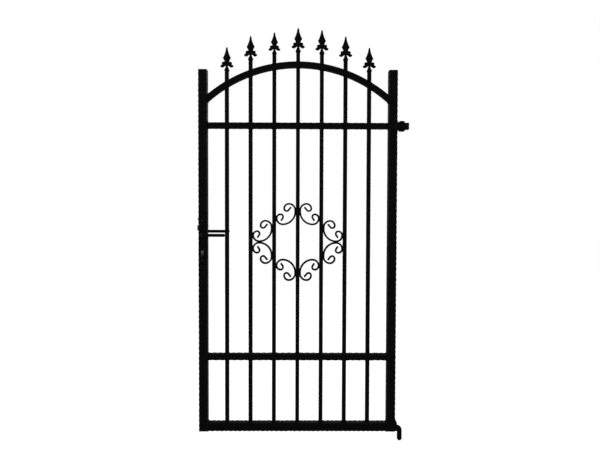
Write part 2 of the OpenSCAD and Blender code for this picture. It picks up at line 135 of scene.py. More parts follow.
def black_paint(name, gloss, grain_scale, grain_depth):
    """Black coat: patchy roughness from a slow noise, a grain bump from a quick one, and the paint's
    colour moved towards a greyer one by the piece's own attribute 'worn' times a spotty noise."""
    finish, tree, shader = new_finish(name)
    place = add_node(tree, "TexCoord")
    patches = add_node(tree, "TexNoise", Vector=(place, "Object"), Scale=38.0, Detail=3.0, Roughness=0.55)
    sheen = add_node(tree, "MapRange", Value=(patches, "Fac"), _1=0.3, _2=0.7,
                     _3=gloss - 0.07, _4=gloss + 0.09)
    grain = add_node(tree, "TexNoise", Vector=(place, "Object"), Scale=grain_scale, Detail=2.0)
    peel = add_node(tree, "Bump", Strength=0.5, Distance=grain_depth, Height=(grain, "Fac"))
    worn = tree.nodes.new("ShaderNodeAttribute")
    worn.attribute_name = "worn"
    spots = add_node(tree, "TexNoise", Vector=(place, "Object"), Scale=170.0, Detail=4.0, Roughness=0.65)
    rubbed = add_node(tree, "Math", _0=(worn, "Fac"), _1=(spots, "Fac"))
    rubbed.operation = "MULTIPLY"
    colour = add_node(tree, "Mix")
    colour.data_type = "RGBA"
    colour.inputs[6].default_value, colour.inputs[7].default_value = PAINT, WORN_PAINT
    tree.links.new(rubbed.outputs[0], colour.inputs[0])
    tree.links.new(colour.outputs[2], shader.inputs["Base Color"])
    tree.links.new(sheen.outputs[0], shader.inputs["Roughness"])
    tree.links.new(peel.outputs[0], shader.inputs["Normal"])
    shader.inputs["Specular IOR Level"].default_value = 0.012
    return finish


tube_paint = black_paint("black paint on tube", 0.52, 420.0, 0.00012)
cast_paint = black_paint("black paint on castings", 0.6, 260.0, 0.0003)
fitting_paint = black_paint("black fittings", 0.46, 900.0, 0.00006)
print("paints:", tube_paint.name, "|", cast_paint.name, "|", fitting_paint.name)

# %% Bare steel and brass
def bare_metal(name, colour, darker, roughness, lines):
    """Bare metal: two tones mixed by a cloudy noise, and fine scratches from a noise stretched by
    'lines'."""
    finish, tree, shader = new_finish(name)
    place = add_node(tree, "TexCoord")
    stretched = add_node(tree, "Mapping", Vector=(place, "Object"), Scale=lines)
    scratches = add_node(tree, "TexNoise", Vector=(stretched, "Vector"), Scale=60.0, Detail=3.0)
    clouds = add_node(tree, "TexNoise", Vector=(place, "Object"), Scale=90.0, Detail=4.0)
    tone = add_node(tree, "ValToRGB", Fac=(clouds, "Fac"))
    tone.color_ramp.elements[0].position, tone.color_ramp.elements[0].color = 0.35, darker
    tone.color_ramp.elements[1].position, tone.color_ramp.elements[1].color = 0.65, colour
    rough = add_node(tree, "MapRange", Value=(scratches, "Fac"), _3=roughness - 0.08, _4=roughness + 0.1)
    fine = add_node(tree, "Bump", Strength=0.3, Distance=0.00005, Height=(scratches, "Fac"))
    tree.links.new(tone.outputs[0], shader.inputs["Base Color"])
    tree.links.new(rough.outputs[0], shader.inputs["Roughness"])
    tree.links.new(fine.outputs[0], shader.inputs["Normal"])
    shader.inputs["Metallic"].default_value = 1.0
    return finish


bare_steel = bare_metal("bare steel", (0.075, 0.075, 0.077, 1), (0.05, 0.05, 0.052, 1),
                        0.38, (4, 4, 40))
brass = bare_metal("dull brass", (0.05, 0.04, 0.03, 1), (0.014, 0.011, 0.008, 1),
                   0.4, (30, 6, 30))
# The plug's brass is a lighter copy of the cylinder's dull brass: a painted highlight for the light on the
# cylinder's round top.
plug_highlight_brass = bare_metal("brass lighter as painted highlight", (0.12, 0.108, 0.095, 1), (0.07, 0.062, 0.054, 1),
                        0.34, (30, 6, 30))
screw_steel = bare_metal("blackened screws", (0.02, 0.02, 0.021, 1), (0.009, 0.009, 0.01, 1),
                         0.4, (20, 20, 20))
print("metals:", bare_steel.name, "|", brass.name, "|", plug_highlight_brass.name, "|", screw_steel.name)

# %% [markdown]
# ## From a grid of points to a piece
# Every surface here is a closed outline carried along a path: rows follow the path and columns go round
# the outline. One function places the outline, one joins the grid into faces, and one makes the Blender
# object and ties it to its CAD body. A closed surface must face outwards, so its volume is worked out
# and the faces are turned if it is negative. That also catches a mirrored shape.

# %% Carry an outline along a path
def carry(outline, path, normal, along=None, ring=False):
    """Points = path + outline's first number times the normal + its second times (direction x normal).
    The path lies in the plane square to the normal; its direction is given, or is the step between its
    points."""
    path = np.asarray(path, float)
    if along is None:
        step = np.roll(path, -1, 0) - np.roll(path, 1, 0) if ring else np.gradient(path, axis=0)
        along = step / np.linalg.norm(step, axis=1, keepdims=True)
    second = np.broadcast_to(np.cross(along, normal), path.shape)
    outline = np.broadcast_to(outline, (len(path),) + np.shape(outline)[-2:])
    return path[:, None] + outline[..., :1] * np.asarray(normal) + outline[..., 1:] * second[:, None]


def circle(radius, columns=20):
    """Outline of a round bar, or of many rings if radius is an array: radius times cosine and sine."""
    turn = np.linspace(0, 2 * np.pi, columns, endpoint=False)
    return np.asarray(radius, float)[..., None, None] * np.stack([np.cos(turn), np.sin(turn)], -1)


def rounded_square(width, depth, corner, flat=5, arc=4):
    """Outline of a tube: four quarter circles of the corner radius, joined by straight sides in equal
    steps."""
    turn = np.arange(4)[:, None] * np.pi / 2 + np.linspace(0, np.pi / 2, arc + 1)
    centre = np.array([[1, 1], [-1, 1], [-1, -1], [1, -1]]) * (np.array([width, depth]) / 2 - corner)
    arcs = centre[:, None] + corner * np.stack([np.cos(turn), np.sin(turn)], -1)
    share = np.linspace(0, 1, flat + 1)[1:-1, None]
    sides = arcs[:, -1:] * (1 - share) + np.roll(arcs[:, :1], -1, 0) * share
    return np.concatenate([arcs, sides], 1).reshape(-1, 2)


def evenly(knots, count):
    """That many points, evenly spaced along the closed line through the knots, each averaged with its
    neighbours."""
    knots = np.concatenate([knots, knots[:1]])
    run = np.concatenate([[0], np.cumsum(np.linalg.norm(np.diff(knots, axis=0), axis=1))])
    at = np.linspace(0, run[-1], count, endpoint=False)
    line = np.stack([np.interp(at, run, column) for column in knots.T], -1)
    return (np.roll(line, 1, 0) + 2 * line + np.roll(line, -1, 0)) / 4


print("a 40 mm tube has", len(rounded_square(40, 40, 3)), "points round it")

# %% Join a grid into a closed skin
def skin(points, ring=False):
    """Quads between neighbouring rows and columns, and a flat face on each end unless the path is a
    ring. The volume is a sixth of the sum of the triple products of the faces' triangles; below zero,
    every face is turned round."""
    rows, columns = points.shape[:2]
    at = np.arange(rows * columns).reshape(rows, columns)
    lines = np.vstack([at, at[:1]]) if ring else at
    beside = np.roll(lines, -1, 1)
    quads = np.stack([lines[:-1], beside[:-1], beside[1:], lines[1:]], -1).reshape(-1, 4)
    ends = [] if ring else [at[0][::-1], at[-1]]
    triangles = [quads[:, [0, 1, 2]], quads[:, [0, 2, 3]]]
    triangles += [np.stack([np.full(columns - 2, e[0]), e[1:-1], e[2:]], -1) for e in ends]
    flat = points.reshape(-1, 3)
    a, b, c = np.moveaxis(flat[np.concatenate(triangles)] - flat.mean(0), 1, 0)
    turned_round = np.einsum("ij,ij->", a, np.cross(b, c)) < 0
    faces = quads.tolist() + [e.tolist() for e in ends]
    return flat, [face[::-1] for face in faces] if turned_round else faces


def make_piece(name, skins, body, slot, finish, nodes=(), worn=None, crease=38):
    """One Blender object from several skins in leaf millimetres, riding on a body in place of CAD
    nodes."""
    offsets = np.cumsum([0] + [len(points) for points, _ in skins])
    faces = [[i + start for i in face] for (_, part), start in zip(skins, offsets) for face in part]
    mesh = bpy.data.meshes.new(name)
    mesh.from_pydata(to_frame(np.concatenate([points for points, _ in skins])).tolist(), [], faces)
    mesh.polygons.foreach_set("use_smooth", np.ones(len(faces), bool))
    mesh.set_sharp_from_angle(angle=math.radians(crease))
    if worn is not None:
        ridges = mesh.attributes.new("worn", "FLOAT", "POINT")
        ridges.data.foreach_set("value", worn.ravel().astype(np.float32))
    mesh.materials.append(finish)
    made = bpy.data.objects.new(name, mesh)
    bpy.context.scene.collection.objects.link(made)
    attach(made, body)
    if nodes:
        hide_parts(*nodes)
    return made


print("pieces are made by", make_piece.__name__)

# %% [markdown]
# ## Hammered tube
# The stiles and rails are square tube whose corners were knocked in by rollers, so the edges wave every
# 25 mm or so. A bump texture would leave the outline straight, and against the sky the outline is what
# shows. So the blows are real geometry: near a corner the wall moves in along the diagonal, and each
# blow is a raised cosine with its own depth and a small slip in place. Seen against white the members
# read a little thicker than their CAD sizes, as zinc and paint would make them, so each gets a coat.

# %% The hammer
RAISED = 0.45
COAT = 1.0


def hammer(outline, along, pitch, depth, seed, share=(1, 1, 1, 1), quiet=18.0):
    """Moves outline points in towards the tube's axis: depth times nearness to a corner (a smooth step
    from half-way out) times cos squared of the place within a blow, less a little for the metal that
    rises between blows. Blows fade over the quiet length at both ends of the tube. Returns the moved
    outlines, one for each place along, and how much each point stands out as a ridge."""
    draw = np.random.default_rng(seed)
    reach = np.abs(outline).max(0)
    near = np.clip((np.min(np.abs(outline) / reach, 1) - 0.5) / 0.5, 0, 1)
    near = near * near * (3 - 2 * near)
    corner = (outline[:, 0] > 0) + 2 * (outline[:, 1] > 0)
    count = int(np.ptp(along) / pitch) + 3
    strength = draw.uniform(0.7, 1.15, (4, count))
    slip = draw.uniform(-0.1, 0.1, (4, count))
    blow = (along[:, None] - along.min()) / pitch + draw.uniform(0, 1, 4)[corner]
    which = blow.astype(int)
    inside = np.clip(blow - which - 0.5 - slip[corner, which], -0.5, 0.5)
    fade = np.clip(np.minimum(along - along.min(), along.max() - along) / quiet, 0, 1)[:, None]
    hit = np.cos(np.pi * inside) ** 2 * strength[corner, which]
    inward = depth / math.sqrt(2) * np.array(share)[corner] * (hit - RAISED) * fade * near
    return outline - inward[..., None] * np.sign(outline), near * np.clip(1 - hit, 0, 1)


def steps(low, high, spacing):
    """Evenly spaced places from low to high, about that far apart."""
    return np.linspace(low, high, round(abs(high - low) / spacing) + 1)


print("one 25 mm blow, 2 mm deep, is sampled every", round(np.diff(steps(0, 25, 3))[0], 2), "mm")

# %% [markdown]
# ## The two stiles
# Each stile is one length of 40 mm tube. Its foot is open, as a cut tube is, so the path starts inside,
# comes down, turns over the cut edge and goes up the outside. The corner that faces the leaf at the
# back is left nearly plain: seen from the front its edge hardly waves.

# %% Make the stiles
TUBE_WALL = 2.0
HOLLOW_SHOWN = 120.0
BLOW_PITCH = 25.5
BLOW_DEPTH = 2.1
STILE_CORNER = 3.2


def stile(node, seed, share):
    """Hammered outline carried up z; two extra rows, smaller by the wall, run down the inside of the
    open foot."""
    low, high, middle = span(node)
    up = steps(0, high[2], 3)
    wide, deep, _ = high - low
    outline = rounded_square(wide + 2 * COAT, deep + 2 * COAT, STILE_CORNER)
    outer, ridge = hammer(outline, up, BLOW_PITCH, BLOW_DEPTH, seed, share)
    inner = rounded_square(wide - 2 * TUBE_WALL, deep - 2 * TUBE_WALL, 1.4)
    path = np.concatenate([[HOLLOW_SHOWN, 0], up])[:, None] * Z + middle * X
    grid = carry(np.concatenate([[inner, inner], outer]), path, X, along=Z)
    worn = np.concatenate([np.zeros((2, len(outline))), ridge])
    return make_piece(node + "_hammered", [skin(grid)], "leaf", "black_paint", tube_paint, [node], worn)


# corners in the order left-front, right-front, left-back, right-back
stiles = [stile("lock_stile", 11, (1, 0.8, 0.9, 0.35)), stile("hinge_stile", 12, (0.8, 1, 0.35, 0.9))]
print("stiles:", [len(s.data.polygons) for s in stiles], "faces")

# %% Close the stiles with their top plates
CAP_RIM = 0.9


def rim(depth, radius, rows=4):
    """Rows of a plate with rounded edges: how far each row is drawn in, and its height, round two
    quarter circles."""
    turn = np.linspace(0, np.pi / 2, rows)
    inset, rise = radius * (1 - np.sin(turn)), radius * (1 - np.cos(turn))
    return np.concatenate([inset, inset[::-1]]), np.concatenate([rise, depth - rise[::-1]])


def slab(outline, depth, radius, start, normal, along):
    """A flat outline carried straight along its thickness; near both faces it is drawn in along its own
    normals."""
    ahead = np.roll(outline, -1, 0) - np.roll(outline, 1, 0)
    outward = np.stack([ahead[:, 1], -ahead[:, 0]], -1) / np.linalg.norm(ahead, axis=1, keepdims=True)
    inset, height = rim(depth, radius)
    path = start + height[:, None] * along
    return carry(outline - inset[:, None, None] * outward, path, normal, along=along)


def stile_cap(node):
    """Square plate with rounded corners, laid on the stile's top."""
    low, high, middle = span(node)
    wide, deep, thick = high - low
    outline = rounded_square(wide + 2 * COAT, deep + 2 * COAT, STILE_CORNER)
    plate = slab(outline, thick, CAP_RIM, middle * [1, 1, 0] + low * Z, X, Z)
    return make_piece(node + "_plate", [skin(plate)], "leaf", "black_paint", tube_paint, [node])


caps = [stile_cap("lock_stile_cap"), stile_cap("hinge_stile_cap")]
print("caps:", [c.name for c in caps])

# %% [markdown]
# ## The rails and the arch
# The bottom rail is a 40 mm tube and the two middle rails are lighter; all three are hammered, the
# middle ones with a longer beat. The arch was bent from plain tube. The tubes run one millimetre into
# the stiles so that no slit shows behind the weld, and the arch goes on until its whole end is inside
# the stile.

# %% Make the straight rails
RAIL_INTO_STILE = 1.0
RAIL_CORNER = 2.6


def rail(node, pitch, depth, seed):
    """Hammered outline carried along x between the stiles."""
    low, high, middle = span(node)
    across = steps(low[0] - RAIL_INTO_STILE, high[0] + RAIL_INTO_STILE, 3)
    outline = rounded_square(high[1] - low[1] + 2 * COAT, high[2] - low[2] + 2 * COAT, RAIL_CORNER)
    moved, ridge = hammer(outline, across, pitch, depth, seed)
    grid = carry(moved, across[:, None] * X + middle * [0, 1, 1], Y, along=X)
    return make_piece(node + "_hammered", [skin(grid)], "leaf", "black_paint", tube_paint, [node], ridge)


rails = [rail("bottom_rail", 22.5, 2.0, 21),
         rail("lower_rail", 30.5, 2.0, 22),
         rail("upper_rail", 31.0, 1.2, 23)]
print("rails:", [(r.name, len(r.data.polygons)) for r in rails])

# %% Make the arch
ARCH_R, ARCH_T = 684.0, 26.0
ARCH_TOP = span("arch_rail")[1][2]
ARCH_MID = ARCH_TOP - ARCH_R
INNER_HALF = span("upper_rail")[1][0]


def arch():
    """Outline carried along an arc about the arch's centre: x = r sin a, z = centre + r cos a."""
    end = math.asin(INNER_HALF / (ARCH_R - ARCH_T)) + 0.004
    turn = np.linspace(-end, end, 241)[:, None]
    path = (ARCH_R - ARCH_T / 2) * (np.sin(turn) * X + np.cos(turn) * Z) + ARCH_MID * Z
    low, high, _ = span("arch_rail")
    outline = rounded_square(high[1] - low[1] + 2 * COAT, ARCH_T + 2 * COAT, RAIL_CORNER)
    return make_piece("arch_rail_bent", [skin(carry(outline, path, Y))], "leaf", "black_paint", tube_paint,
                      ["arch_rail"])


arch_rail = arch()
print("arch:", len(arch_rail.data.polygons), "faces, top at", ARCH_TOP, "mm")

# %% [markdown]
# ## The bars
# The seven bars are solid 17 mm square steel. Rolled bar has nearly sharp edges; these carry very
# shallow marks of the same hammering. Each is one outline carried from the bottom rail up through the
# rails and the arch to the foot of its spear head.

# %% Make the bars
BARS = 7
BAR_CORNER, BAR_PITCH, BAR_BLOW, BAR_WEAR = 1.1, 29.0, 0.3, 0.2


def bar(n):
    """Lightly hammered square carried up z; its foot sits one millimetre inside the bottom rail."""
    low, high, middle = span(f"bar_{n}")
    up = steps(low[2] - 1, high[2], 5)
    outline = rounded_square(high[0] - low[0] + 2 * COAT, high[1] - low[1] + 2 * COAT, BAR_CORNER, 3, 3)
    moved, ridge = hammer(outline, up, BAR_PITCH, BAR_BLOW, 40 + n)
    grid = carry(moved, up[:, None] * Z + middle * X, X, along=Z)
    return make_piece(f"bar_{n}_square", [skin(grid)], "leaf", "black_paint", tube_paint, [f"bar_{n}"],
                      BAR_WEAR * ridge)


bars = [bar(n) for n in range(1, BARS + 1)]
print("bars:", len(bars), "with", sum(len(b.data.polygons) for b in bars), "faces")

# %% [markdown]
# ## The spear heads
# Each bar ends in a cast head: a collar with a sharp edge, a neck, two curled leaves and a blade with a
# ridge down its middle. The casting is drawn as four skins. Collar and blade are outlines whose width
# changes with height; a leaf is a pillow, rings that shrink towards its middle, with a hollow eye
# pressed into each face.

# %% Collar, neck and blade
def superellipse(wide, deep, power, columns=32):
    """Outline |x / wide|^p + |y / deep|^p = 1: p = 2 is round, a large p is square, near 1 is a
    diamond."""
    turn = np.linspace(0, 2 * np.pi, columns, endpoint=False)
    c, s = np.cos(turn), np.sin(turn)
    p = 2 / np.asarray(power, float)[..., None]
    x = np.asarray(wide, float)[..., None] * np.sign(c) * np.abs(c) ** p
    return np.stack([x, np.asarray(deep, float)[..., None] * np.sign(s) * np.abs(s) ** p], -1)


def smoothed(values, times):
    """Each value averaged with its neighbours, a few times; both ends stay where they are."""
    for _ in range(times):
        inside = (values[:-2] + 2 * values[1:-1] + values[2:]) / 4
        values = np.concatenate([values[:1], inside, values[-1:]])
    return values


# rows are height and half-width; the blade's third number is its half-depth
COLLAR = np.array([[0, 9.4], [3, 9.7], [9.4, 13], [10.8, 13], [18, 9.2], [24, 7.4],
                   [29, 5.4], [34, 5.2], [46, 5]])
BLADE = np.array([[38, 4.6, 4], [45, 11.2, 5.6], [55.5, 12.2, 6], [69.2, 19.6, 7.4], [71.2, 19, 7.4],
                  [76.6, 15.8, 6.8], [84.2, 12.6, 5.8], [94.8, 8.8, 4.5], [104, 6.1, 3.4], [115, 4.3, 2.8],
                  [119.6, 3.3, 2.4], [121, 1.8, 1.4]])


def collar_and_neck():
    """Radius read from the collar's profile; square like the bar at the foot, round from the collar's
    edge up."""
    up = steps(0, COLLAR[-1, 0], 1.0)
    radius = smoothed(np.interp(up, COLLAR[:, 0], COLLAR[:, 1]), 1)
    power = np.interp(up, [0, 8, 20], [7, 3.2, 2])
    return carry(superellipse(radius, radius, power), up[:, None] * Z, X, along=Z)


def blade():
    """Diamond outline, half as wide and deep as the blade's profile says at that height."""
    up = steps(BLADE[0, 0], BLADE[-1, 0], 1.3)
    wide = smoothed(np.interp(up, BLADE[:, 0], BLADE[:, 1]), 1)
    deep = smoothed(np.interp(up, BLADE[:, 0], BLADE[:, 2]), 4)
    return carry(superellipse(wide, deep, np.full(len(up), 1.35)), up[:, None] * Z, X, along=Z)


print("blade rows:", len(blade()), "collar rows:", len(collar_and_neck()))

# %% The curled leaves, and the seven heads
LEAF = np.array([[4, 31.5], [6.5, 31.2], [10.8, 28.3], [16.6, 24], [20, 23], [25, 23.2], [29.2, 25.4],
                 [33, 30.2], [31.6, 33.2], [28, 34.4], [24, 35], [23.6, 38], [25.2, 43.4],
                 [23.8, 48.6], [20.6, 50.8], [16.6, 51.7], [10, 51.5], [4, 50.6]])
LEAF_MIDDLE, EYE = np.array([16.4, 38.8]), np.array([15.4, 40.6])
LEAF_T = 11.0
SHRINK = 0.55


def curled_leaf(side):
    """Rings of the leaf's outline shrunk towards its middle by cos of an angle to the power SHRINK,
    while the depth is half the thickness times its sine; near the middle the depth is pulled in to make
    the eye. The first rings are even in that angle and the last ones even in size, so that the eye is
    drawn as finely as the rim."""
    inner = np.arccos(np.array([0.44, 0.35, 0.26, 0.17, 0.09, 0.02]) ** (1 / SHRINK))
    turn = np.concatenate([np.radians(np.linspace(0, 72, 10)), inner])
    turn = np.concatenate([-turn[:0:-1], turn])[:, None]
    flat = LEAF_MIDDLE + np.cos(turn)[..., None] ** SHRINK * (evenly(LEAF, 72) - LEAF_MIDDLE)
    away = np.linalg.norm((flat - EYE) / [1, 1.1], axis=-1)
    depth = LEAF_T / 2 * np.sin(turn) * (1 - 0.5 * np.exp(-(away / 3.4) ** 2))
    return np.stack([side * flat[..., 0], depth, flat[..., 1]], -1)


def spear(n):
    """The four skins of a head, scaled to the casting's height and set on the bar's end."""
    low, high, middle = span(f"spear_{n}")
    size = (high[2] - low[2]) / BLADE[-1, 0]
    parts = [collar_and_neck(), blade(), curled_leaf(-1), curled_leaf(1)]
    skins = [skin(part * size + middle * X + low * Z) for part in parts]
    return make_piece(f"spear_{n}_cast", skins, "leaf", "black_paint", cast_paint, [f"spear_{n}"],
                      crease=50)


spears = [spear(n) for n in range(1, BARS + 1)]
print("spears:", [round(s.dimensions.z / MM, 1) for s in spears], "mm tall")

# %% [markdown]
# ## The scrolls
# Flat strip was bent round pins into C-scrolls, tight at one end and looser at the other. The strip's
# line is a walk: the heading changes evenly along each bend, so it is a straight-line function of the
# length walked, and the place is the running sum of the heading's cosine and sine.

# %% Walk the strip's line
STRIP_T = 7.0
STRIP_D = 2 * span("scroll_top_left")[1][1]
SMALL_R, LARGE_R = 29.5, 31.0
WELD_GAP = 0.2
BAY = span("bar_5")[0][0] - span("bar_4")[1][0]
MAIN_R = BAY - 2 * WELD_GAP - STRIP_T - SMALL_R
# each row is a radius and the angle turned to the right, or 0 and a straight length
BENDS = np.array([[0, 0.64 * LARGE_R], [0.39 * LARGE_R, 141], [0.74 * LARGE_R, 90], [LARGE_R, 90], [0, 8],
                  [MAIN_R, 90], [SMALL_R, 90], [0.66 * SMALL_R, 90], [0.41 * SMALL_R, 124],
                  [0, 0.54 * SMALL_R]])


def scroll_line(spacing=1.2):
    """Heading = 231 degrees less what has been turned; x and z are the running sums of its cosine and
    sine. The line is then moved so that the strip's back lies on x = 0 and its foot on z = 0. Returns
    the line and its length."""
    turned = np.where(BENDS[:, 0] > 0, BENDS[:, 1], 0)
    length = np.where(BENDS[:, 0] > 0, BENDS[:, 0] * np.radians(turned), BENDS[:, 1])
    walked = steps(0, length.sum(), spacing)
    middle = (walked[1:] + walked[:-1]) / 2
    knots = np.concatenate([[0], np.cumsum(length)])
    heading = np.radians(231 - np.interp(middle, knots, np.concatenate([[0], np.cumsum(turned)])))
    pace = np.diff(walked)[:, None] * np.stack([np.cos(heading), np.sin(heading)], -1)
    line = np.concatenate([[[0, 0]], np.cumsum(pace, 0)])
    line -= [line[:, 0].max() + STRIP_T / 2, line[:, 1].min() - STRIP_T / 2]
    return line, walked


line, walked = scroll_line()
print("strip length", round(walked[-1]), "mm, scroll",
      np.round(np.ptp(line, axis=0) + STRIP_T, 1), "mm across")

# %% Bend the eight scrolls
def scroll_place(node):
    """Signs that mirror the walked line to this scroll's side, and the corner where its back and foot
    meet."""
    low, high, _ = span(node)
    left = "left" in node.split("_")
    lower = "bottom" in node or "lower" in node
    flip = np.array([1 if left else -1, -1 if lower else 1])
    return flip, np.array([high[0] if left else low[0], high[2] if lower else low[2]])


def scroll(node):
    """Strip carried along the walked line, mirrored to its side; its two ends are rounded over in their
    last 3 mm."""
    flip, corner = scroll_place(node)
    flat = line * flip + corner
    path = np.stack([flat[:, 0], np.zeros(len(flat)), flat[:, 1]], -1)
    to_end = np.clip(np.minimum(walked, walked[-1] - walked) / 3.0, 0, 1)
    slim = np.sqrt(1 - (1 - to_end) ** 2) * 0.75 + 0.25
    outline = rounded_square(STRIP_D + 2 * COAT, STRIP_T + 2 * COAT, 1.0, 3, 3)
    outline = outline * np.stack([slim * 0.2 + 0.8, slim], -1)[:, None]
    strip = skin(carry(outline, path, Y))
    return make_piece(node + "_bent", [strip], "leaf", "black_paint", cast_paint, [node])


SCROLLS = [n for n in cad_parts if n.startswith("scroll_")]
scrolls = [scroll(n) for n in sorted(SCROLLS)]
print("scrolls:", len(scrolls), "with", len(scrolls[0].data.polygons), "faces each")

# %% [markdown]
# ## Welds
# The frame is held together by welds, and they show as small ridged fillets in every inner corner. A
# bead is a round outline carried along the joint; its radius swells once per ripple, the way each pass
# of the torch freezes. Where a scroll only touches a bar, the weld is a single flattened drop. The
# beads lie on the coated faces, or the coat would hide them.

# %% Beads round the ends of the rails
def bead(path, normal, radius, ring=True, ripple=2.4, seed=0):
    """Circle carried along the joint. Its radius is multiplied by 0.92, plus 0.16 times |sin| of the
    length over the ripple, plus a slow unevenness from three random waves."""
    path = np.asarray(path, float)
    run = np.concatenate([[0], np.cumsum(np.linalg.norm(np.diff(path, axis=0), axis=1))])
    draw = np.random.default_rng(seed)
    slow = sum(draw.uniform(0.03, 0.07) * np.sin(2 * np.pi * k * run / run[-1] + draw.uniform(0, 6))
               for k in (2, 3, 5))
    swell = radius * (0.92 + 0.16 * np.abs(np.sin(np.pi * run / ripple)) + slow)
    return carry(circle(swell, 8), path, normal, ring=ring)


def loop(width, depth, corner, spacing=1.2):
    """Points evenly spaced round a rounded rectangle."""
    return evenly(rounded_square(width, depth, corner, 2, 6), int(2 * (width + depth) / spacing))


def rail_welds():
    """A ring of bead in the plane of the stile's inner face round each end of each rail, and of the
    arch's ends."""
    foot, crown = (ARCH_MID + math.sqrt(r * r - INNER_HALF**2) for r in (ARCH_R - ARCH_T, ARCH_R))
    ends = [(*span(r)[0][1:], *span(r)[1][1:], radius)
            for r, radius in (("bottom_rail", 3.6), ("lower_rail", 2.8), ("upper_rail", 2.8))]
    ends.append((span("arch_rail")[0][1], foot, span("arch_rail")[1][1], crown, 2.8))
    skins = []
    for number, (y0, z0, y1, z1, radius) in enumerate(ends):
        around = loop(y1 - y0 + 2 * COAT, z1 - z0 + 2 * COAT, 3.0)
        for side in (-1, 1):
            face = np.full(len(around), side * (INNER_HALF - COAT))
            path = np.column_stack([face, around[:, 0] + (y0 + y1) / 2, around[:, 1] + (z0 + z1) / 2])
            skins.append(skin(bead(path, X, radius, seed=60 + number * 2 + side), ring=True))
    return make_piece("rail_weld_beads", skins, "leaf", "black_paint", cast_paint, crease=80)


rail_beads = rail_welds()
print("rail welds:", len(rail_beads.data.polygons), "faces")

# %% Beads round the bars
def bar_welds():
    """A small ring round every bar where it leaves a rail, and an uneven one that follows the arch's
    slope."""
    skins = []
    for n in range(1, BARS + 1):
        low, high, middle = span(f"bar_{n}")
        around = loop(high[0] - low[0] + 2 * COAT, high[1] - low[1] + 2 * COAT, 1.5)
        x, y = around[:, 0] + middle[0], around[:, 1]
        levels = [span("bottom_rail")[1][2] + COAT]
        for node in ("lower_rail", "upper_rail"):
            levels += [span(node)[0][2] - COAT, span(node)[1][2] + COAT]
        heights = [np.full(len(around), z) for z in levels]
        heights += [ARCH_MID + np.sqrt(r * r - x * x) for r in (ARCH_R - ARCH_T - COAT, ARCH_R + COAT)]
        skins += [skin(bead(np.column_stack([x, y, z]), Z, 2.0, seed=80 + n * 8 + k), ring=True)
                  for k, z in enumerate(heights)]
    return make_piece("bar_weld_beads", skins, "leaf", "black_paint", cast_paint, crease=80)


bar_beads = bar_welds()
print("bar welds:", len(bar_beads.data.polygons), "faces")

# %% Drops where the scrolls touch
DROP = np.array([2.6, 6.6, 5.5])


def drop(centre, sizes):
    """A flattened ball: half-sizes times cos b cos a, sin b and cos b sin a, over two angles."""
    b = np.radians(np.linspace(-84, 84, 13))[:, None]
    a = np.linspace(0, 2 * np.pi, 16, endpoint=False)
    ball = np.stack([np.cos(b) * np.cos(a), np.sin(b) + 0 * a, np.cos(b) * np.sin(a)], -1)
    return centre + ball * sizes


def scroll_welds():
    """Each scroll touches a bar with its back and with its far side, and a pair of outer scrolls meets
    at its feet."""
    back, far, foot = line[line[:, 0].argmax()], line[line[:, 0].argmin()], line[line[:, 1].argmin()]
    touches = np.array([[0, back[1]], [far[0] - STRIP_T / 2, far[1]]])
    skins = []
    for node in sorted(SCROLLS):
        flip, corner = scroll_place(node)
        for x, z in touches * flip + corner:
            skins.append(skin(drop(np.array([x, 0, z]), DROP)))
        if node.endswith("_upper"):
            x, z = np.array([foot[0], 0]) * flip + corner
            skins.append(skin(drop(np.array([x, 0, z]), DROP[::-1])))
    return make_piece("scroll_weld_drops", skins, "leaf", "black_paint", cast_paint)


scroll_drops = scroll_welds()
print("scroll welds:", len(scroll_drops.data.polygons), "faces")

# %% [markdown]
# ## Machined fittings
# The lock plates, the face strip, the key cylinder and the hinge's bracket already have their right
# shape and holes in CAD, but with edges as sharp as a drawing. Real ones are broken with a file. A copy
# of the CAD mesh is joined up and given a narrow Bevel, which is quicker and surer here than a formula
# with holes in it.

# %% Break the edges of the CAD fittings
def eased(node, body, slot, finish, width):
    """A joined-up copy of a CAD node with a Bevel of that width in millimetres on every sharp edge."""
    joined = bmesh.new()
    joined.from_mesh(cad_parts[node].data)
    bmesh.ops.remove_doubles(joined, verts=joined.verts, dist=1e-6)
    bmesh.ops.dissolve_limit(joined, angle_limit=math.radians(0.5), verts=joined.verts, edges=joined.edges)
    mesh = bpy.data.meshes.new(node + "_eased")
    joined.to_mesh(mesh)
    joined.free()
    mesh.polygons.foreach_set("use_smooth", np.ones(len(mesh.polygons), bool))
    mesh.set_sharp_from_angle(angle=math.radians(30))
    mesh.materials.clear()
    mesh.materials.append(finish)
    made = bpy.data.objects.new(node + "_eased", mesh)
    bpy.context.scene.collection.objects.link(made)
    edge = made.modifiers.new("broken edges", "BEVEL")
    edge.width, edge.segments = width * MM, 2
    edge.limit_method, edge.angle_limit = "ANGLE", math.radians(35)
    edge.use_clamp_overlap = False
    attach(made, body)
    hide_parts(node)
    return made


EASED = [("front_lock_plate", "leaf", "black_fittings", fitting_paint, 0.8),
         ("back_lock_plate", "leaf", "black_fittings", fitting_paint, 0.8),
         ("lock_forend", "leaf", "black_fittings", fitting_paint, 0.4),
         ("post_bracket", "post_hinge", "black_paint", cast_paint, 1.0),
         ("key_cylinder", "leaf", "brass", brass, 0.4)]
fittings = [eased(*row) for row in EASED]
print("eased:", [f.name for f in fittings])

# %% [markdown]
# ## Levers
# Both levers are round bar bent once: out of the hub, round a bend and along the grip, with a domed
# end. The same lever serves both sides, and its neck leans a little, so the back grip stands higher
# than the front one. That is a circle carried along a bent line in a leaning plane, with its radius let
# down to nothing at the tip.

# %% Bend the levers
LEVER_R, BEND_R, REACH, HUB_R = 7.5, 18.0, 80.0, 9.5
LEVER_LEAN = math.radians(7.8)
STILE_FACE, HUB_END = 20.0, 32.0


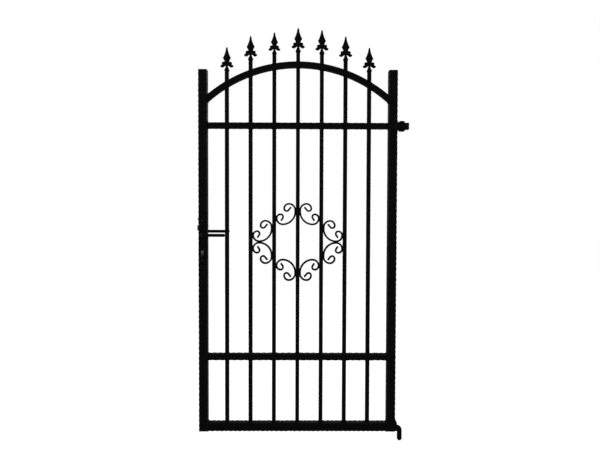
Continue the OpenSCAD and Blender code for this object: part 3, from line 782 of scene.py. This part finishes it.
def dome(run, radius, end):
    """Radius along a rod with a round end: sqrt(r squared - (what is past the start of the dome)
    squared)."""
    past = np.clip(run - (end - radius), 0, radius * 0.9995)
    return np.sqrt(radius**2 - past**2)


def lever(node, side):
    """Straight out of the hub, a quarter circle, then the grip; side -1 is the front and 1 the back.
    What lies past the hub leans: that length times cos goes outwards, and times sin goes up at the back
    and down at the front."""
    axis = span("lever_spindle")[2] * [1, 0, 1]
    tip = span(node)[1][0] - axis[0]
    turn = np.linspace(0, np.pi / 2, 13)
    neck = np.column_stack([np.zeros(12), np.linspace(HUB_END - 3, REACH - BEND_R, 12)])
    bend = np.column_stack([BEND_R * (1 - np.cos(turn)), REACH - BEND_R + BEND_R * np.sin(turn)])[1:]
    grip_x = np.concatenate([steps(BEND_R, tip - LEVER_R, 4)[1:], tip - LEVER_R * (1 - np.sin(turn[1:]))])
    grip = np.column_stack([grip_x, np.full(len(grip_x), REACH)])
    run, out = np.concatenate([neck, bend, grip]).T
    leaning = side * np.array([0, math.cos(LEVER_LEAN), math.sin(LEVER_LEAN)])
    path = axis + side * HUB_END * Y + run[:, None] * X + (out - HUB_END)[:, None] * leaning
    radius = dome(np.where(out < REACH, 0, run), LEVER_R, tip)
    rod = skin(carry(circle(radius, 24), path, np.cross(X, leaning)))
    drawn_in, rise = rim(HUB_END - STILE_FACE, 1.2)
    hub_path = axis + side * Y * (STILE_FACE + rise[:, None])
    hub = skin(carry(circle(HUB_R - drawn_in, 32), hub_path, X, along=side * Y))
    return make_piece(node + "_bent", [rod, hub], "lever", "black_fittings", fitting_paint, [node])


levers = [lever("front_lever", -1), lever("back_lever", 1)]
print("levers:", [round(v.dimensions.x / MM, 1) for v in levers], "mm long")

# %% [markdown]
# ## Latch, key cylinder and screws
# The latch bolt is bare steel. The brass cylinder shows a round plug in lighter brass, a painted
# highlight, and on it a thin black slab, painted shade for the key slot. Small domed screws hold the
# plates and the face strip; they are turned shapes, a radius that changes along the axis.

# %% The latch bolt
LATCH_NOSE, LATCH_RIM = 9.0, 0.7


def latch():
    """Outline of the bolt seen from above, with its bevelled nose, carried up through its height with
    eased rims."""
    low, high, middle = span("latch_bolt")
    length, half = high[0] - low[0], (high[1] - low[1]) / 2
    knots = [[0, half], [0, half * 0.5], [LATCH_NOSE, -half], [length, -half], [length, half]]
    outline = evenly(np.array(knots), 96)
    body = slab(outline, high[2] - low[2], LATCH_RIM, low * [1, 0, 1], X, Z)
    return make_piece("latch_bolt_ground", [skin(body)], "latch", "bare_steel", bare_steel, ["latch_bolt"])


latch_bolt = latch()
print("latch:", np.round(np.array(latch_bolt.dimensions) / MM, 1), "mm")

# %% Screws
def turned(profile, start, along):
    """A circle carried along an axis; the profile's rows are radius and height."""
    profile = np.asarray(profile, float)
    normal = Z if abs(along[2]) < 0.5 else X
    return carry(circle(profile[:, 0], 24), start + profile[:, 1:] * along, normal, along=along)


def screw_head(start, along, radius, height):
    """Raised head: an upright edge, then an elliptic dome."""
    turn = np.linspace(0, np.radians(86), 9)
    domed = np.column_stack([radius * np.cos(turn), 0.35 * height + 0.65 * height * np.sin(turn)])
    return skin(turned(np.vstack([[radius * 0.98, -0.5], domed]), start, along))


PLATE_SCREWS = (841.5, 1033.0)


def lock_screws():
    """Two screws on each plate and two on the face strip."""
    x, face = span("front_lock_plate")[2][0], span("back_lock_plate")[1][1]
    strip, low, high = span("lock_forend")[0][0], span("lock_forend")[0][2], span("lock_forend")[1][2]
    skins = [screw_head(np.array([x, side * face, z]), side * Y, 4.2, 1.8)
             for side in (-1, 1) for z in PLATE_SCREWS]
    skins += [screw_head(np.array([strip, 0, high - 6.0]), -X, 5.8, 5.8),
              screw_head(np.array([strip, 0, low + 7.0]), -X, 4.4, 1.2)]
    return make_piece("lock_screws", skins, "leaf", "bare_steel", screw_steel)


screws = lock_screws()
print("screws:", len(screws.data.polygons), "faces")

# %% The cylinder's plug and key slot
PLUG_DOWN = 8.5


def key_plugs():
    """On each side a turned plug, slightly proud of the cylinder's face, in lighter brass as a painted
    highlight, and a thin black slab on it as painted shade for the key slot.
    """
    middle, face = span("lever_spindle")[2], span("key_cylinder")[1][1]
    centre = np.array([middle[0], 0, span("key_cylinder")[1][2] - PLUG_DOWN])
    profile = [[6.4, -0.5], [6.4, 0.35], [6.0, 0.7], [0.2, 0.75]]
    plugs = [skin(turned(profile, centre + side * face * Y, side * Y)) for side in (-1, 1)]
    # The key slot is not cut: a thin black slab on the plug's face is painted shade for the slot's dark
    # hollow.
    slit = rounded_square(1.5, 8.0, 0.6, 2, 2)
    slot_shades = [skin(slab(slit, 0.5, 0.1, centre + side * (face + 0.5) * Y, X, side * Y)) for side in (-1, 1)]
    # The plug takes the lighter brass, a painted highlight.
    make_piece("key_plugs", plugs, "leaf", "brass", plug_highlight_brass)
    return make_piece("key_slot_shades", slot_shades, "leaf", "black_fittings", fitting_paint)


key_slot_shades = key_plugs()
print("key slots:", np.round(np.array(key_slot_shades.dimensions) / MM, 1), "mm over both")

# %% [markdown]
# ## Hinge and pivot
# The leaf hangs on a pin through a fork and an eye, and stands on a bent round rod at its foot. The rod
# is again a circle along a bent line with a domed end. The pin's ends are riveted over, and beads run
# round the fork's gusset and the lug where they meet the stile.

# %% The pivot rod
PIVOT_R, PIVOT_BEND, LUG_RIM = 12.0, 15.0, 0.9


def pivot():
    """Out of the lug, a quarter circle down, then the straight pivot with a round end."""
    low, high, _ = span("pivot_rod")
    axis = high[0] - PIVOT_R
    leg_z = high[2] - PIVOT_R
    turn = np.linspace(0, np.pi / 2, 15)
    leg_x = steps(low[0], axis - PIVOT_BEND, 3)
    leg = np.column_stack([leg_x, np.full(len(leg_x), leg_z)])
    bend = np.column_stack([axis - PIVOT_BEND + PIVOT_BEND * np.sin(turn),
                            leg_z - PIVOT_BEND * (1 - np.cos(turn))])[1:]
    down = np.concatenate([steps(leg_z - PIVOT_BEND, low[2] + PIVOT_R, 4)[1:],
                           low[2] + PIVOT_R * (1 - np.sin(turn[1:]))])
    flat = np.concatenate([leg, bend, np.column_stack([np.full(len(down), axis), down])])
    path = np.column_stack([flat[:, 0], np.zeros(len(flat)), flat[:, 1]])
    before_dome = np.arange(len(flat)) < len(leg) + len(bend)
    radius = dome(np.where(before_dome, -1e3, -flat[:, 1]), PIVOT_R, -low[2])
    rod = skin(carry(circle(radius, 28), path, Y))
    return make_piece("pivot_rod_bent", [rod], "leaf", "black_paint", cast_paint, ["pivot_rod"])


def lug():
    """Outline of the lug seen from the front, carried through its depth; the rod fills its bore."""
    low, high, _ = span("pivot_lug")
    long, tall = high[0] - low[0], high[2] - low[2]
    outline = evenly(np.array([[0, 0], [long, 0], [long, tall - 5], [long - 3, tall], [0, tall]]), 96)
    block = slab(outline, high[1] - low[1], LUG_RIM, low * [1, 0, 1] + high * Y, X, -Y)
    return make_piece("pivot_lug_block", [skin(block)], "leaf", "black_paint", cast_paint, ["pivot_lug"])


pivot_rod, pivot_lug = pivot(), lug()
print("pivot reaches", round(pivot_rod.bound_box[0][2], 4), "m in the frame")

# %% The fork
FORK_H, FORK_D = 48.2, 24.0
EAR_T, EAR_R, EAR_RIM, EAR_START = 7.5, 14.0, 1.8, 11.5
# rows are the distance out of the stile and the half-height there: gusset, waist, then the back
FORK = np.array([[-3, 31], [1, 31], [5, 20.5], [8, 17], [9.5, 17.8], [13, 23.4], [14, 22.6]])


def fork():
    """Gusset and back are a rounded rectangle carried out of the stile, its height read from the
    waisted profile. Each ear is a half circle about the pin with straight sides to the back, carried up
    through its thickness."""
    low, axis = span("hinge_fork")[0], span("hinge_pin")[2]
    out = steps(FORK[0, 0], FORK[-1, 0], 0.5)
    tall = smoothed(np.interp(out, FORK[:, 0], FORK[:, 1]), 2)
    deep = np.interp(out, [13.2, 14], [1, 0.94])
    outline = rounded_square(FORK_D, FORK_H, 1.5) * np.stack([deep, 2 * tall / FORK_H], -1)[:, None]
    path = axis * Z + (low[0] + out)[:, None] * X
    skins = [skin(carry(outline, path, Y, along=X))]
    turn = np.linspace(-np.pi / 2, np.pi / 2, 25)
    round_end = EAR_R * np.column_stack([np.cos(turn), np.sin(turn)])
    inner = low[0] + EAR_START - axis[0]
    square_end = np.array([[inner + 3, 12], [inner, 9], [inner, -9], [inner + 3, -12]])
    ear = evenly(np.concatenate([round_end, square_end]), 64)
    for under in (FORK_H / 2 - EAR_T, -FORK_H / 2):
        skins.append(skin(slab(ear, EAR_T, EAR_RIM, axis * [1, 0, 1] + under * Z, X, Z)))
    return make_piece("hinge_fork_forged", skins, "leaf", "black_paint", cast_paint, ["hinge_fork"])


hinge_fork = fork()
print("fork:", np.round(np.array(hinge_fork.dimensions) / MM, 1), "mm")

# %% The pin's heads and the beads on the hinge stile
def pin():
    """The pin with both ends riveted over into low domes."""
    low, high, middle = span("hinge_pin")
    radius = (high[0] - low[0]) / 2
    turn = np.linspace(0, np.radians(84), 8)
    head = np.column_stack([(radius + 1.6) * np.cos(turn), 2.4 * np.sin(turn)])
    top = high[2] - low[2]
    profile = np.vstack([head[::-1] * [1, -1], [[radius, 0.2]], [[radius, top - 0.2]], head + [0, top]])
    riveted = skin(turned(profile, middle * X + low * Z, Z))
    return make_piece("hinge_pin_riveted", [riveted], "leaf", "bare_steel", screw_steel, ["hinge_pin"])


def hinge_welds():
    """Rings of bead round the foot of the gusset and of the lug, in the plane of the stile's outer
    face."""
    face = span("hinge_stile")[1][0]
    skins = []
    for node, radius in (("hinge_fork", 2.6), ("pivot_lug", 2.4)):
        low, high, middle = span(node)
        height = 2 * FORK[0, 1] if node == "hinge_fork" else high[2] - low[2]
        depth = FORK_D if node == "hinge_fork" else high[1] - low[1]
        around = loop(depth, height, 3.0)
        path = np.column_stack([np.full(len(around), face), around[:, 0], around[:, 1] + middle[2]])
        skins.append(skin(bead(path, X, radius, seed=len(node)), ring=True))
    return make_piece("hinge_weld_beads", skins, "leaf", "black_paint", cast_paint, crease=80)


hinge_pin, hinge_beads = pin(), hinge_welds()
print("hinge welds:", len(hinge_beads.data.polygons), "faces")

# %% [markdown]
# ## What stays as CAD
# The lock case and the spindle sit inside the lock and are right as they are. They only get their
# finish.

# %% Finish the CAD nodes that stay
for node in ("lock_case", "lever_spindle"):
    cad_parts[node].data.materials.clear()
    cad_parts[node].data.materials.append(bare_steel)
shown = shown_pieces()
print("pieces shown:", len(shown), "faces:", sum(len(o.data.polygons) for o in shown))

# %% [markdown]
# ## Floor and light
# The leaf is shown on a white ground. The floor is a pale sheet that adds a little white of its own for
# the camera, so it runs into the background and still holds a soft shadow. Two large soft lamps and an
# even sky light the leaf at a plain level.

# %% The floor
FLOOR_HALF = 30.0


def floor_finish():
    """For the camera, pale diffuse plus white glow; for all other rays, plain pale diffuse."""
    finish = bpy.data.materials.new("pale floor")
    finish.use_nodes = True
    tree = finish.node_tree
    tree.nodes.clear()
    ray = add_node(tree, "LightPath")
    pale = add_node(tree, "BsdfDiffuse", Color=(0.8, 0.8, 0.8, 1))
    soft = add_node(tree, "BsdfDiffuse", Color=(0.28, 0.28, 0.28, 1))
    glow = add_node(tree, "Emission", Color=(1, 1, 1, 1), Strength=0.86)
    seen = add_node(tree, "AddShader", _0=(soft, 0), _1=(glow, 0))
    mixed = add_node(tree, "MixShader", _0=(ray, "Is Camera Ray"), _1=(pale, 0), _2=(seen, 0))
    add_node(tree, "OutputMaterial", Surface=(mixed, 0))
    return finish


floor_z = cad_box[0].z - 0.0005
corners = np.array([[-1, -1], [1, -1], [1, 1], [-1, 1]]) * FLOOR_HALF
floor_mesh = bpy.data.meshes.new("floor")
floor_mesh.from_pydata(np.column_stack([corners, np.full(4, floor_z)]).tolist(), [], [[0, 1, 2, 3]])
floor_mesh.materials.append(floor_finish())
floor = bpy.data.objects.new("floor", floor_mesh)
bpy.context.scene.collection.objects.link(floor)
floor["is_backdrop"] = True
print("floor at", round(floor_z, 4), "m")

# %% Sky and lamps
def sky():
    """White for rays that show it, a dimmer even light for the rest."""
    world = bpy.data.worlds.new("even sky")
    bpy.context.scene.world = world
    world.use_nodes = True
    tree = world.node_tree
    tree.nodes.clear()
    ray = add_node(tree, "LightPath")
    shiny = add_node(tree, "Math", _0=(ray, "Is Camera Ray"), _1=(ray, "Is Glossy Ray"))
    clear = add_node(tree, "Math", _0=(shiny, 0), _1=(ray, "Is Transmission Ray"))
    shiny.operation = clear.operation = "MAXIMUM"
    lit = add_node(tree, "Background", Color=(1, 1, 1, 1), Strength=0.55)
    white = add_node(tree, "Background", Color=(1, 1, 1, 1), Strength=1.0)
    mixed = add_node(tree, "MixShader", _0=(clear, 0), _1=(lit, 0), _2=(white, 0))
    add_node(tree, "OutputWorld", Surface=(mixed, 0))


def lamp(name, place, aim, size, watts):
    """A square area lamp that looks from its place towards a point."""
    light = bpy.data.lights.new(name, "AREA")
    light.shape, light.size, light.energy = "SQUARE", size, watts
    made = bpy.data.objects.new(name, light)
    made.location = place
    made.rotation_euler = (aim - made.location).to_track_quat("-Z", "Y").to_euler()
    bpy.context.scene.collection.objects.link(made)
    return made


sky()
leaf_middle = (cad_box[0] + cad_box[1]) / 2
lamp("key lamp", leaf_middle + Vector((-2.6, -2.8, 2.6)), leaf_middle, 2.6, 90)
lamp("fill lamp", leaf_middle + Vector((3.0, -2.4, 1.2)), leaf_middle, 2.6, 45)
lamp("back lamp", leaf_middle + Vector((0.8, 3.2, 2.4)), leaf_middle, 2.6, 60)

# %% [markdown]
# ## The camera
# The viewpoint was found by fitting a camera to the leaf's straight edges: it stands 2.35 m in front of
# the leaf, a little over a metre above its foot, and looks almost level.

# %% Place the camera
CAMERA_AT = np.array([-1.0, -2345.0, 1075.0])
LENS_PX, IMAGE_W = 479.9, 600
YAW, PITCH, ROLL = np.radians([0.30, 1.53, -0.17])

ahead = np.array([math.sin(YAW), math.cos(YAW), 0]) * math.cos(PITCH) - Z * math.sin(PITCH)
level = np.array([math.cos(YAW), -math.sin(YAW), 0])
upward = np.cross(level, ahead)
right = level * math.cos(ROLL) - upward * math.sin(ROLL)
top = level * math.sin(ROLL) + upward * math.cos(ROLL)
pose = np.eye(4)
pose[:3, :3] = np.column_stack([right, top, -ahead])
pose[:3, 3] = to_frame(CAMERA_AT)

camera_data = bpy.data.cameras.new("camera")
camera_data.sensor_width = 36.0
camera_data.lens = LENS_PX / IMAGE_W * camera_data.sensor_width
camera = bpy.data.objects.new("camera", camera_data)
camera.matrix_world = Matrix(pose.tolist())
bpy.context.scene.collection.objects.link(camera)
bpy.context.scene.camera = camera
bpy.context.scene.view_settings.view_transform = "Standard"
print("camera at", np.round(pose[:3, 3], 4), "lens", round(camera_data.lens, 2), "mm")

# %% [markdown]
# ## The two boxes
# The CAD model's box and the visual model's box are both printed.

# %% Sizes and finish
bpy.context.view_layer.update()
visual_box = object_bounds()
for title, box in (("CAD box", cad_box), ("visual box", visual_box)):
    print(title, [[round(v, 4) for v in corner] for corner in box])
